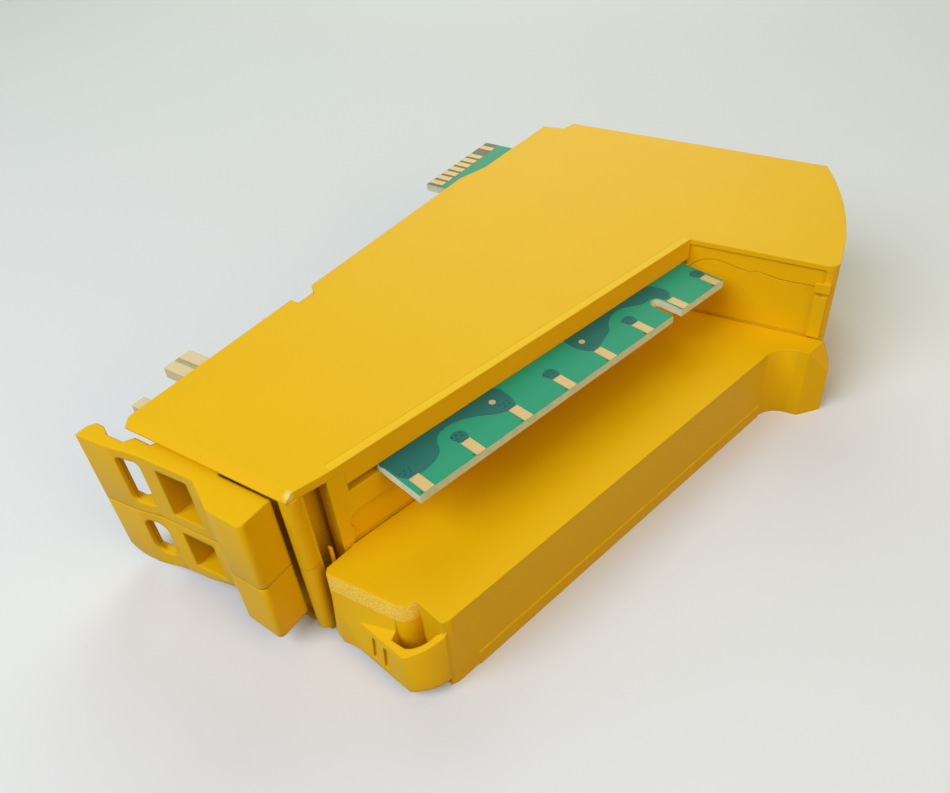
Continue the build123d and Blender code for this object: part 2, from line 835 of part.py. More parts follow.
with BuildPart() as header_pins:
    with BuildSketch(house.offset(board_bottom - 2.5)):
        with Locations((header_x, header_y)):
            Rectangle(header_length, header_width)
    extrude(amount=2.5)
    with BuildSketch(house.offset(lower_board_top + 3)):
        with Locations((header_x, header_y)):
            with GridLocations(header_pitch, header_pitch, header_rows, 2):
                Rectangle(pin_size, pin_size)
    extrude(amount=board_bottom - 2.5 - lower_board_top - 3)
header_pins.part.label = "header_pins"
export_step(header_pins.part, "parts/header_pins.step")


def chip(x, y, length, width, height, lead_count):
    """Flat chip hanging under the main board with leads along both long sides."""
    pitch = length / (lead_count + 1)
    with BuildPart() as body:
        with BuildSketch(house.offset(board_bottom - height)):
            with Locations((x, y)):
                Rectangle(length, width)
        extrude(amount=height - 0.1)
        with BuildSketch(house.offset(board_bottom - height / 2)):
            with Locations((x, y)):
                with GridLocations(pitch, width + 0.8, lead_count, 2):
                    Rectangle(pitch / 2, 1.2)
        extrude(amount=height / 2)
    return body.part


controller_size = 14.0
controller_height = 1.4
controller_places = ((66.0, -28.0), (86.0, -28.0))
bus_chip_length, bus_chip_width, bus_chip_height = 12.0, 8.0, 1.2
bus_chip_x, bus_chip_y = 82.0, -11.0
optocoupler_size = 4.4
optocoupler_height = 2.1
optocoupler_count = 6
optocoupler_first = (20.0, -21.5)
optocoupler_step = (6.4, -1.4)
can_radius = 3.15
can_height = 7.0
can_places = ((12.0, -6.5), (20.0, -6.5))
inductor_size = 10.0
inductor_height = 4.8
inductor_core_radius = 3.6
inductor_core_depth = 0.8
inductor_x, inductor_y = 20.0, -19.0
relay_length, relay_width, relay_height = 20.0, 10.0, 4.6
relay_bevel = 0.4
relay_places = ((62.0, -22.0), (86.0, -22.0))
crystal_length, crystal_width, crystal_height = 11.0, 4.6, 3.4
crystal_x, crystal_y = 76.0, -40.5
led_length, led_width, led_height = 1.6, 0.8, 0.7
led_count = 6
led_first = (80.0, -56.5)
led_step = (3.2, 1.0)
led_places = [(led_first[0] + i * led_step[0], led_first[1] + i * led_step[1]) for i in range(led_count)]

with BuildPart() as safety_controllers:
    for x, y in controller_places:
        add(chip(x, y, controller_size, controller_size, controller_height, 9))
safety_controllers.part.label = "safety_controllers"
export_step(safety_controllers.part, "parts/safety_controllers.step")

with BuildPart() as bus_interface_chip:
    add(chip(bus_chip_x, bus_chip_y, bus_chip_length, bus_chip_width, bus_chip_height, 6))
bus_interface_chip.part.label = "bus_interface_chip"
export_step(bus_interface_chip.part, "parts/bus_interface_chip.step")

with BuildPart() as optocouplers:
    for i in range(optocoupler_count):
        x = optocoupler_first[0] + i * optocoupler_step[0]
        y = optocoupler_first[1] + i * optocoupler_step[1]
        add(chip(x, y, optocoupler_size, optocoupler_size, optocoupler_height, 2))
optocouplers.part.label = "optocouplers"
export_step(optocouplers.part, "parts/optocouplers.step")

with BuildPart() as electrolytic_capacitors:
    with BuildSketch(house.offset(board_bottom - can_height)):
        with Locations(*can_places):
            Circle(can_radius)
    extrude(amount=can_height)
electrolytic_capacitors.part.label = "electrolytic_capacitors"
export_step(electrolytic_capacitors.part, "parts/electrolytic_capacitors.step")

with BuildPart() as power_inductor:
    with BuildSketch(house.offset(lower_board_top)):
        with Locations((inductor_x, inductor_y)):
            RectangleRounded(inductor_size, inductor_size, 0.15 * inductor_size)
    extrude(amount=inductor_height)
    with BuildSketch(house.offset(lower_board_top + inductor_height - inductor_core_depth)):
        with Locations((inductor_x, inductor_y)):
            Circle(inductor_core_radius)
    extrude(amount=inductor_core_depth, mode=Mode.SUBTRACT)
power_inductor.part.label = "power_inductor"
export_step(power_inductor.part, "parts/power_inductor.step")

with BuildPart() as safety_relays:
    with BuildSketch(house.offset(lower_board_top)):
        with Locations(*relay_places):
            Rectangle(relay_length, relay_width)
    extrude(amount=relay_height)
    chamfer(safety_relays.faces().sort_by(Axis.Z)[-len(relay_places):].edges(), relay_bevel)
safety_relays.part.label = "safety_relays"
export_step(safety_relays.part, "parts/safety_relays.step")

with BuildPart() as crystal:
    with BuildSketch(house.offset(board_bottom - crystal_height)):
        with Locations((crystal_x, crystal_y)):
            SlotOverall(crystal_length, crystal_width)
    extrude(amount=crystal_height)
crystal.part.label = "crystal"
export_step(crystal.part, "parts/crystal.step")

with BuildPart() as status_leds:
    with BuildSketch(house.offset(board_top)):
        with Locations(*led_places):
            Rectangle(led_length, led_width)
    extrude(amount=led_height)
status_leds.part.label = "status_leds"
export_step(status_leds.part, "parts/status_leds.step")
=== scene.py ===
import json
import math

import bmesh
import bpy
from mathutils import Matrix, Vector


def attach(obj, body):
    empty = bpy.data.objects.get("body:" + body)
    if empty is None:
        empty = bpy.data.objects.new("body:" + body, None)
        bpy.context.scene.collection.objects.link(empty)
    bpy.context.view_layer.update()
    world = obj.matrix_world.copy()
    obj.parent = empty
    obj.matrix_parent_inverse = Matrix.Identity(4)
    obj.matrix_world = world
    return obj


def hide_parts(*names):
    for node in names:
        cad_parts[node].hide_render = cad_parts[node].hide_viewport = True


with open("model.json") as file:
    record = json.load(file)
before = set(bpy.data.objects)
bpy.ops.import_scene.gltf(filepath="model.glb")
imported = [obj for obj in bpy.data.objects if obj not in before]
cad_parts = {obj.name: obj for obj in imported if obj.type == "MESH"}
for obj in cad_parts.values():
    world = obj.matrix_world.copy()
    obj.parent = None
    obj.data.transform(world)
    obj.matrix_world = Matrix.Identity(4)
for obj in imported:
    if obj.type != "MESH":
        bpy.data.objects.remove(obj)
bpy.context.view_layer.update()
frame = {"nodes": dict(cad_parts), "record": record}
nodes = frame["nodes"]

MM = 0.001

# Sizes of the module in millimetres: x runs from the lever end, y = 0 is the rear edge
HEAD_CORNER_X = 102.85
BLOCK_OUT = 5.6
TONGUE_REACH = 8.4
FRONT_START = (4.0, -27.55)
FRONT_SLANT = math.radians(13.7)
FRONT_LENGTH = 67.1
BLANK_HEAD = (73.4, -22.95)
BOARD_TOP = 21.68
SEAM_HEIGHT = 12.5
PAD_COUNT = 8
PAD_PITCH = 8.0
PAD_FIRST = 8.1


def to_house(x, y):
    """A point along and across the slanted front wall, in the module's own x and y."""
    return (
        FRONT_START[0] + x * math.cos(FRONT_SLANT) + y * math.sin(FRONT_SLANT),
        FRONT_START[1] - x * math.sin(FRONT_SLANT) + y * math.cos(FRONT_SLANT),
    )


MID = ((HEAD_CORNER_X - BLOCK_OUT) / 2, (to_house(*BLANK_HEAD)[1] + TONGUE_REACH) / 2)


def place(x, y, z):
    """The module's millimetres to the frame's metres."""
    return Vector(((x - MID[0]) * MM, (y - MID[1]) * MM, z * MM))


def place_front(x, y, z):
    """A point along and across the slanted front wall, in millimetres, to the frame's metres."""
    return place(*to_house(x, y), z)


# Small helpers for node trees


def feed(tree, socket, value):
    """Sets a socket to a number or a colour, or links another socket to it."""
    if isinstance(value, (int, float)):
        socket.default_value = value
    elif isinstance(value, (tuple, list)):
        socket.default_value = (*value[:3], 1.0)
    else:
        tree.links.new(value, socket)


def math_node(tree, operation, first, second=None, clamp=False):
    node = tree.nodes.new("ShaderNodeMath")
    node.operation = operation
    node.use_clamp = clamp
    feed(tree, node.inputs[0], first)
    if second is not None:
        feed(tree, node.inputs[1], second)
    return node.outputs["Value"]


def mix_colour(tree, factor, first, second):
    node = tree.nodes.new("ShaderNodeMix")
    node.data_type = "RGBA"
    for name, value in (("Factor", factor), ("A", first), ("B", second)):
        feed(tree, node.inputs[name], value)
    return node.outputs["Result"]


def tint(tree, mask, strength, colour, other):
    """The colour, with the other one laid over it by the mask times the strength."""
    return mix_colour(tree, math_node(tree, "MULTIPLY", mask, strength), colour, other)


def between(tree, value, low, high):
    """1 where the value lies between low and high, with nothing in between."""
    above = math_node(tree, "GREATER_THAN", value, low)
    below = math_node(tree, "LESS_THAN", value, high)
    return math_node(tree, "MULTIPLY", above, below)


def object_noise(tree, scale, detail=2.0):
    """Noise that is fixed to the piece."""
    coords = tree.nodes.new("ShaderNodeTexCoord")
    noise = tree.nodes.new("ShaderNodeTexNoise")
    noise.inputs["Detail"].default_value = detail
    feed(tree, noise.inputs["Scale"], scale)
    tree.links.new(coords.outputs["Object"], noise.inputs["Vector"])
    return noise.outputs["Fac"]


def upward(tree, normal="True Normal"):
    """How far a face looks up: 1 on top, 0 on a wall, -1 below."""
    geometry = tree.nodes.new("ShaderNodeNewGeometry")
    split = tree.nodes.new("ShaderNodeSeparateXYZ")
    tree.links.new(geometry.outputs[normal], split.inputs["Vector"])
    return split.outputs["Z"]


def seen_directly(tree):
    """1 for rays that come from the camera, or by way of a mirror or glass."""
    path = tree.nodes.new("ShaderNodeLightPath")
    through = math_node(tree, "MAXIMUM", path.outputs["Is Glossy Ray"], path.outputs["Is Transmission Ray"])
    return math_node(tree, "MAXIMUM", path.outputs["Is Camera Ray"], through)


# Shader groups that several materials share

SPECK_SCALE = 110.0
SPECK_RADIUS = 0.014
SPECK_RARITY = 0.72
EDGE_SOFTNESS = 0.22
LEVER_SOFTNESS = 0.45


def new_group(name, inputs, outputs):
    """A shader group; its inputs are numbers, given as (name, default), and its outputs (name, type)."""
    group = bpy.data.node_groups.new(name, "ShaderNodeTree")
    for label, default in inputs:
        socket = group.interface.new_socket(name=label, in_out="INPUT", socket_type="NodeSocketFloat")
        socket.default_value = default
    for label, kind in outputs:
        group.interface.new_socket(name=label, in_out="OUTPUT", socket_type=kind)
    return group, group.nodes.new("NodeGroupInput"), group.nodes.new("NodeGroupOutput")


def make_grain_group():
    """Fine moulded grain, a slow tone that changes over the surface, and rare dark specks."""
    outputs = [(name, "NodeSocketFloat") for name in ("Height", "Tone", "Specks")]
    group, start, end = new_group(
        "moulded_grain", [("Grain per metre", 5000.0), ("Tone per metre", 60.0)], outputs
    )
    coords = group.nodes.new("ShaderNodeTexCoord")
    cells = group.nodes.new("ShaderNodeTexVoronoi")
    cells.inputs["Scale"].default_value = SPECK_SCALE
    group.links.new(coords.outputs["Object"], cells.inputs["Vector"])
    chosen = group.nodes.new("ShaderNodeSeparateColor")
    group.links.new(cells.outputs["Color"], chosen.inputs["Color"])
    near = math_node(group, "LESS_THAN", cells.outputs["Distance"], SPECK_RADIUS)
    rare = math_node(group, "GREATER_THAN", chosen.outputs["Red"], SPECK_RARITY)
    group.links.new(object_noise(group, start.outputs["Grain per metre"], 3.0), end.inputs["Height"])
    group.links.new(object_noise(group, start.outputs["Tone per metre"]), end.inputs["Tone"])
    group.links.new(math_node(group, "MULTIPLY", near, rare), end.inputs["Specks"])
    return group


def make_edge_group():
    """Softened edges: a normal that rounds them and a mask that is 1 along them, which places the painted
    edge highlight.
    """
    group, start, end = new_group(
        "soft_edges",
        [("Strength", 6.0), ("Radius", EDGE_SOFTNESS * MM)],
        [("Normal", "NodeSocketVector"), ("Edge", "NodeSocketFloat")],
    )
    bevel = group.nodes.new("ShaderNodeBevel")
    bevel.samples = 6
    group.links.new(start.outputs["Radius"], bevel.inputs["Radius"])
    geometry = group.nodes.new("ShaderNodeNewGeometry")
    dot = group.nodes.new("ShaderNodeVectorMath")
    dot.operation = "DOT_PRODUCT"
    group.links.new(bevel.outputs["Normal"], dot.inputs[0])
    group.links.new(geometry.outputs["Normal"], dot.inputs[1])
    away = math_node(group, "SUBTRACT", 1.0, dot.outputs["Value"])
    mask = math_node(group, "MULTIPLY", away, start.outputs["Strength"], clamp=True)
    group.links.new(bevel.outputs["Normal"], end.inputs["Normal"])
    group.links.new(mask, end.inputs["Edge"])
    return group


def make_spot_group():
    """Where a point lies, in millimetres: along and across the front wall, and in the module's x, y, z."""
    outputs = [(name, "NodeSocketFloat") for name in ("Along", "Across", "X", "Y", "Z")]
    group, start, end = new_group("place_on_case", [("Slant", FRONT_SLANT)], outputs)
    coords = group.nodes.new("ShaderNodeTexCoord")
    split = group.nodes.new("ShaderNodeSeparateXYZ")
    group.links.new(coords.outputs["Object"], split.inputs["Vector"])
    x = math_node(group, "ADD", math_node(group, "MULTIPLY", split.outputs["X"], 1 / MM), MID[0])
    y = math_node(group, "ADD", math_node(group, "MULTIPLY", split.outputs["Y"], 1 / MM), MID[1])
    z = math_node(group, "MULTIPLY", split.outputs["Z"], 1 / MM)
    from_x = math_node(group, "SUBTRACT", x, FRONT_START[0])
    from_y = math_node(group, "SUBTRACT", y, FRONT_START[1])
    turn_cos = math_node(group, "COSINE", start.outputs["Slant"])
    turn_sin = math_node(group, "SINE", start.outputs["Slant"])
    along = math_node(
        group,
        "SUBTRACT",
        math_node(group, "MULTIPLY", from_x, turn_cos),
        math_node(group, "MULTIPLY", from_y, turn_sin),
    )
    across = math_node(
        group,
        "ADD",
        math_node(group, "MULTIPLY", from_x, turn_sin),
        math_node(group, "MULTIPLY", from_y, turn_cos),
    )
    for name, value in (("Along", along), ("Across", across), ("X", x), ("Y", y), ("Z", z)):
        group.links.new(value, end.inputs[name])
    return group


grain_group = make_grain_group()
edge_group = make_edge_group()
spot_group = make_spot_group()


def use_group(tree, group, **values):
    """Places a shared group in a material; an underscore in a value's name stands for a space."""
    node = tree.nodes.new("ShaderNodeGroup")
    node.node_tree = group
    for name, value in values.items():
        node.inputs[name.replace("_", " ")].default_value = value
    return node


# Materials


def new_material(name, roughness, specular=0.5, metallic=0.0):
    material = bpy.data.materials.new(name)
    material.use_nodes = True
    shader = material.node_tree.nodes["Principled BSDF"]
    shader.inputs["Roughness"].default_value = roughness
    shader.inputs["Specular IOR Level"].default_value = specular
    shader.inputs["Metallic"].default_value = metallic
    return material, material.node_tree, shader


def add_bump(tree, shader, height, normal, strength, distance):
    bump = tree.nodes.new("ShaderNodeBump")
    bump.inputs["Strength"].default_value = strength
    bump.inputs["Distance"].default_value = distance
    tree.links.new(height, bump.inputs["Height"])
    if normal is not None:
        tree.links.new(normal, bump.inputs["Normal"])
    tree.links.new(bump.outputs["Normal"], shader.inputs["Normal"])


def vary_roughness(tree, shader, height, roughness, spread):
    """Roughness that follows the grain, by half the spread each way."""
    change = math_node(tree, "MULTIPLY", height, spread)
    tree.links.new(math_node(tree, "ADD", change, roughness - spread / 2), shader.inputs["Roughness"])


SPECK_BROWN = (0.12, 0.07, 0.02)
# Painted highlight: how strongly the paler edge colour is laid over the edges
EDGE_HIGHLIGHT_STRENGTH = 0.35


def moulded_plastic(
    name, light, dark, edge, roughness, grain, bump,
    specks=0.0, marks=None, softness=EDGE_SOFTNESS, gloss=0.15,
):
    """Matte moulded plastic with grain, slow tone change, a painted highlight along the edges and a few
    dark specks.

    marks adds what only one piece has: it takes the tree and the colour so far and gives the new colour.
    """
    material, tree, shader = new_material(name, roughness, gloss)
    texture = use_group(tree, grain_group, Grain_per_metre=grain)
    edges = use_group(tree, edge_group, Radius=softness * MM)
    toned = mix_colour(tree, texture.outputs["Tone"], dark, light)
    # Painted highlight: the paler edge colour laid along the edges
    colour = tint(tree, edges.outputs["Edge"], EDGE_HIGHLIGHT_STRENGTH, toned, edge)
    if marks is not None:
        colour = marks(tree, colour)
    specked = tint(tree, texture.outputs["Specks"], specks, colour, SPECK_BROWN)
    tree.links.new(specked, shader.inputs["Base Color"])
    vary_roughness(tree, shader, texture.outputs["Height"], roughness, 0.14)
    add_bump(tree, shader, texture.outputs["Height"], edges.outputs["Normal"], bump, 0.03 * MM)
    return material


SEAM_DARK = (0.50, 0.27, 0.001)
SEAM_HALF_WIDTH = 0.07
SEAM_STRENGTH = 0.6
WALL_TILT = 0.3


def case_marks(tree, colour):
    """The fine dark line on the outside where the two halves of the case meet."""
    spot = use_group(tree, spot_group)
    wall = math_node(tree, "LESS_THAN", math_node(tree, "ABSOLUTE", upward(tree)), WALL_TILT)
    near = between(tree, spot.outputs["Z"], SEAM_HEIGHT - SEAM_HALF_WIDTH, SEAM_HEIGHT + SEAM_HALF_WIDTH)
    return tint(tree, math_node(tree, "MULTIPLY", wall, near), SEAM_STRENGTH, colour, SEAM_DARK)


PLATE_FACE = 24.9
PLATE_LINE_ENDS = (0.7, FRONT_LENGTH - 0.3)
PLATE_LINE = (1.2, 1.3)
PLATE_LINE_STRENGTH = 0.55
# Painted highlight on the narrow rim by the plate's front edge: where it lies, how strong, and its colour
PLATE_RIM = (-0.2, 1.2)
PLATE_RIM_HIGHLIGHT_STRENGTH = 0.5
RIM_HIGHLIGHT_YELLOW = (0.86, 0.56, 0.02)
# Painted highlight at the lever-end corner of the plate: its centre, reach, strength and colour
CORNER_HIGHLIGHT_SPOT = (-0.3, -25.9, 24.6)
CORNER_HIGHLIGHT_REACH = 0.8
CORNER_HIGHLIGHT_STRENGTH = 0.8
CORNER_HIGHLIGHT_YELLOW = (0.92, 0.76, 0.34)


def plate_line(tree, spot, colour):
    """The fine step line along the plate's front edge, with a painted highlight on the rim outside it."""
    flat = math_node(tree, "GREATER_THAN", spot.outputs["Z"], PLATE_FACE)
    reach = between(tree, spot.outputs["Along"], *PLATE_LINE_ENDS)
    face = math_node(tree, "MULTIPLY", flat, reach)
    rim = math_node(tree, "MULTIPLY", between(tree, spot.outputs["Across"], *PLATE_RIM), face)
    line = math_node(tree, "MULTIPLY", between(tree, spot.outputs["Across"], *PLATE_LINE), face)
    # Painted highlight on the rim
    paler = tint(tree, rim, PLATE_RIM_HIGHLIGHT_STRENGTH, colour, RIM_HIGHLIGHT_YELLOW)
    return tint(tree, line, PLATE_LINE_STRENGTH, paler, SEAM_DARK)


def corner_highlight(tree, spot, colour):
    """A painted highlight, pale at the corner at the lever end of the plate and fading away from it."""
    joined = tree.nodes.new("ShaderNodeCombineXYZ")
    for name in ("X", "Y", "Z"):
        tree.links.new(spot.outputs[name], joined.inputs[name])
    corner = tree.nodes.new("ShaderNodeVectorMath")
    corner.operation = "DISTANCE"
    corner.inputs[1].default_value = CORNER_HIGHLIGHT_SPOT
    tree.links.new(joined.outputs["Vector"], corner.inputs[0])
    share = math_node(tree, "DIVIDE", corner.outputs["Value"], CORNER_HIGHLIGHT_REACH)
    highlight = math_node(tree, "SUBTRACT", 1.0, share, clamp=True)
    return tint(tree, highlight, CORNER_HIGHLIGHT_STRENGTH, colour, CORNER_HIGHLIGHT_YELLOW)


def cover_marks(tree, colour):
    """The step line, and the painted highlights on the rim and on the corner of the cover."""
    spot = use_group(tree, spot_group)
    return corner_highlight(tree, spot, plate_line(tree, spot, colour))


BAND_HEIGHT = (10.0, 12.2)
BAND_SLOPE = (0.08, 0.6)
BAND_REACH = (-3.0, 3.2)
# Painted sheen and glints on the rough band: strength and the paler colours laid over the grit
SHEEN_BAND_STRENGTH = 0.85
GRIT_SCALE = 5200.0
GRIT_FLOOR = 0.42
GRIT_CONTRAST = 3.2
GRIT_SHEEN_DEEP = (0.83, 0.50, 0.03)
GRIT_SHEEN_PALE = (0.95, 0.72, 0.24)


def blank_grit_and_sheen(tree, colour):
    """The sparkling rough band below the cap's top edge and on the boss's bevel: a grit texture painted
    paler as a sheen, with painted glints.
    """
    spot = use_group(tree, spot_group)
    sloped = between(tree, upward(tree), *BAND_SLOPE)
    high = between(tree, spot.outputs["Z"], *BAND_HEIGHT)
    reach = between(tree, spot.outputs["X"], *BAND_REACH)
    sheen_band = math_node(tree, "MULTIPLY", math_node(tree, "MULTIPLY", sloped, high), reach)
    over = math_node(tree, "SUBTRACT", object_noise(tree, GRIT_SCALE), GRIT_FLOOR, clamp=True)
    grit_glint = math_node(tree, "MULTIPLY", over, GRIT_CONTRAST, clamp=True)
    # Painted sheen: the band's grit is laid over in paler colours
    return tint(tree, sheen_band, SHEEN_BAND_STRENGTH, colour, mix_colour(tree, grit_glint, GRIT_SHEEN_DEEP, GRIT_SHEEN_PALE))


WEAVE_SCALE = 900.0
FIBRE_DEEP = (0.50, 0.60, 0.48)
FIBRE_PALE = (0.76, 0.82, 0.70)
FLAT_FACE = 0.7
BARE_TIP = 3.0
BARE_GREY = (0.15, 0.15, 0.12)
BOUNCE_WARM = (0.42, 0.30, 0.06)


def solder_mask(name, pale, deep):
    """Green mask over glass fibre, with the pale cut edge and the bare tip of the bus tongue.

    Light that bounces off the board is given a warm colour, so that no green falls on the case.
    """
    material, tree, shader = new_material(name, 0.5, 0.16)
    texture = use_group(tree, grain_group, Grain_per_metre=2500.0)
    spot = use_group(tree, spot_group)
    mask = mix_colour(tree, texture.outputs["Tone"], deep, pale)
    bare = math_node(tree, "GREATER_THAN", spot.outputs["Y"], TONGUE_REACH - BARE_TIP)
    mask = mix_colour(tree, bare, mask, BARE_GREY)
    fibre = mix_colour(tree, object_noise(tree, WEAVE_SCALE), FIBRE_DEEP, FIBRE_PALE)
    flat = math_node(tree, "GREATER_THAN", math_node(tree, "ABSOLUTE", upward(tree, "Normal")), FLAT_FACE)
    seen = mix_colour(tree, flat, fibre, mask)
    path = tree.nodes.new("ShaderNodeLightPath")
    bounced = mix_colour(tree, path.outputs["Is Diffuse Ray"], seen, BOUNCE_WARM)
    tree.links.new(bounced, shader.inputs["Base Color"])
    add_bump(tree, shader, texture.outputs["Height"], None, 0.15, 0.02 * MM)
    return material


def plain_metal(name, colour, worn, roughness, metallic=1.0):
    material, tree, shader = new_material(name, roughness, 0.5, metallic)
    texture = use_group(tree, grain_group, Grain_per_metre=3000.0)
    toned = mix_colour(tree, texture.outputs["Tone"], worn, colour)
    tree.links.new(toned, shader.inputs["Base Color"])
    vary_roughness(tree, shader, texture.outputs["Height"], roughness, 0.2)
    add_bump(tree, shader, texture.outputs["Height"], None, 0.1, 0.02 * MM)
    return material


YELLOW = (0.80, 0.470, 0.002)
YELLOW_DEEP = (0.775, 0.445, 0.002)
# The paler colour painted along edges as a highlight
YELLOW_EDGE_HIGHLIGHT = (0.87, 0.58, 0.02)


def yellow(name, roughness=0.5, bump=0.35, **more):
    return moulded_plastic(name, YELLOW, YELLOW_DEEP, YELLOW_EDGE_HIGHLIGHT, roughness, 9000.0, bump, **more)


FINISHES = {
    "housing": yellow("yellow_case", specks=0.3, marks=case_marks),
    "lever": yellow("yellow_lever", roughness=0.42, bump=0.2, softness=LEVER_SOFTNESS, gloss=0.10),
    "steel": plain_metal("pin_steel", (0.62, 0.62, 0.60), (0.45, 0.45, 0.44), 0.35),
    "board": solder_mask("board_green", (0.020, 0.315, 0.205), (0.014, 0.270, 0.175)),
    "gold": plain_metal("gold_plate", (0.60, 0.43, 0.215), (0.53, 0.37, 0.17), 0.55, 0.25),
    "plug": moulded_plastic(
        "beige_plug", (0.74, 0.60, 0.41), (0.68, 0.55, 0.36), (0.84, 0.75, 0.56), 0.45, 4000.0, 0.2,
        specks=0.1,
    ),
    "contact": plain_metal("plug_contact", (0.42, 0.38, 0.20), (0.34, 0.30, 0.15), 0.5, 0.3),
    "black_plastic": moulded_plastic(
        "black_epoxy", (0.02, 0.02, 0.02), (0.03, 0.03, 0.03), (0.06, 0.06, 0.06), 0.6, 6000.0, 0.3
    ),
    "aluminium": plain_metal("can_aluminium", (0.80, 0.80, 0.80), (0.70, 0.70, 0.70), 0.3),
    "ferrite": moulded_plastic(
        "ferrite_grey", (0.10, 0.10, 0.10), (0.07, 0.07, 0.07), (0.15, 0.15, 0.15), 0.7, 4000.0, 0.4
    ),
    "relay_plastic": moulded_plastic(
        "relay_orange", (0.75, 0.28, 0.05), (0.68, 0.24, 0.04), (0.85, 0.40, 0.10), 0.4, 5000.0, 0.2
    ),
    "lens": moulded_plastic(
        "light_lens", (0.70, 0.85, 0.70), (0.62, 0.78, 0.62), (0.9, 0.95, 0.9), 0.2, 3000.0, 0.05
    ),
}
COVER_YELLOW = yellow("yellow_cover", specks=0.35, marks=cover_marks)
BLANK_YELLOW = yellow("yellow_blank", specks=0.2, marks=blank_grit_and_sheen)
COPPER_TEAL = solder_mask("mask_over_copper", (0.016, 0.150, 0.155), (0.012, 0.125, 0.128))
VIA_DARK = moulded_plastic(
    "via_dark", (0.010, 0.035, 0.040), (0.008, 0.03, 0.03), (0.02, 0.06, 0.06), 0.5, 4000.0, 0.1
)

for part in frame["record"]["subparts"]:
    piece = nodes[part["node"]]
    piece.data.materials.clear()
    piece.data.materials.append(FINISHES[part["material_slot"]])
nodes["cover"].data.materials[0] = COVER_YELLOW
nodes["terminal_blank"].data.materials[0] = BLANK_YELLOW


# Pieces that are added or made finer


def new_object(name, data):
    thing = bpy.data.objects.new(name, data)
    bpy.context.scene.collection.objects.link(thing)
    return thing


def add_piece(name, mesh, material, body):
    mesh.materials.clear()
    mesh.materials.append(material)
    piece = new_object(name, mesh)
    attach(piece, body)
    return piece


def settle(piece):
    """The piece with its modifiers worked into its mesh."""
    bpy.context.view_layer.update()
    graph = bpy.context.evaluated_depsgraph_get()
    mesh = bpy.data.meshes.new_from_object(piece.evaluated_get(graph))
    mesh.name = piece.name
    bpy.data.objects.remove(piece)
    return mesh


LEVER_ROUNDING = 0.30
BLANK_ROUNDING = 0.22


def merged_mesh(node):
    """A CAD node's mesh with its doubles merged and its flat faces made whole."""
    form = bmesh.new()
    form.from_mesh(nodes[node].data)
    bmesh.ops.remove_doubles(form, verts=form.verts, dist=0.002 * MM)
    bmesh.ops.dissolve_limit(form, angle_limit=math.radians(1.0), verts=form.verts, edges=form.edges)
    mesh = bpy.data.meshes.new(node + "_rounded")
    form.to_mesh(mesh)
    form.free()
    return mesh


def rounded_copy(node, width, material, body, cutter=None):
    """A copy of a CAD node with its sharp edges rounded; it stands for the node."""
    draft = new_object(node + "_rounded", merged_mesh(node))
    if cutter is not None:
        cut = draft.modifiers.new("grooves", "BOOLEAN")
        cut.operation = "DIFFERENCE"
        cut.solver = "EXACT"
        cut.object = cutter
    bevel = draft.modifiers.new("rounding", "BEVEL")
    bevel.width = width * MM
    bevel.segments = 3
    bevel.limit_method = "ANGLE"
    bevel.angle_limit = math.radians(35)
    bevel.harden_normals = True
    piece = add_piece(node + "_rounded", settle(draft), material, body)
    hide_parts(node)


GROOVES = ((-1.60, -34.8), (-2.02, -36.8))
GROOVE_INWARD = 0.12
GROOVE_DEPTH = 0.60
GROOVE_WIDTH = 0.75
GROOVE_LOW, GROOVE_HIGH = 2.7, 6.0
GROOVE_LEAN = math.radians(7)


def groove_cutter():
    """Two short upright bars that cut the grooves on the rim round the pocket."""
    form = bmesh.new()
    for x, y in GROOVES:
        middle = place(x + GROOVE_INWARD, y, (GROOVE_LOW + GROOVE_HIGH) / 2)
        lean = Matrix.Rotation(GROOVE_LEAN, 4, "Y")
        size = Matrix.Diagonal((GROOVE_DEPTH * MM, GROOVE_WIDTH * MM, (GROOVE_HIGH - GROOVE_LOW) * MM, 1.0))
        bmesh.ops.create_cube(form, size=1.0, matrix=Matrix.Translation(middle) @ lean @ size)
    mesh = bpy.data.meshes.new("groove_bars")
    form.to_mesh(mesh)
    form.free()
    return new_object("groove_bars", mesh)


SLOT_BACK_ALONG = (-3.0, 1.6)
SLOT_BACK_ACROSS = (4.2, 4.6)
SLOT_BACK_LOW = 1.25
SLOT_BACK_HEIGHT = 22.5


def slot_back():
    """The wall at the back of the slot beside the post."""
    (near, far), (front, rear) = SLOT_BACK_ALONG, SLOT_BACK_ACROSS
    plan = ((near, front), (far, front), (far, rear), (near, rear))
    low = [place_front(x, y, SLOT_BACK_LOW) for x, y in plan]
    high = [corner + Vector((0, 0, SLOT_BACK_HEIGHT * MM)) for corner in low]
    sides = [(i, (i + 1) % 4, 4 + (i + 1) % 4, 4 + i) for i in range(4)]
    mesh = bpy.data.meshes.new("slot_back")
    mesh.from_pydata(low + high, [], [(3, 2, 1, 0), (4, 5, 6, 7)] + sides)
    add_piece("slot_back", mesh, FINISHES["housing"], "case")


rounded_copy("release_lever_upper", LEVER_ROUNDING, FINISHES["lever"], "upper_lever")
rounded_copy("release_lever_lower", LEVER_ROUNDING, FINISHES["lever"], "lower_lever")
bars = groove_cutter()
rounded_copy("terminal_blank", BLANK_ROUNDING, BLANK_YELLOW, "case", bars)
bpy.data.objects.remove(bars)
slot_back()


# Copper under the mask, seen as darker areas: along and across the front wall, in millimetres

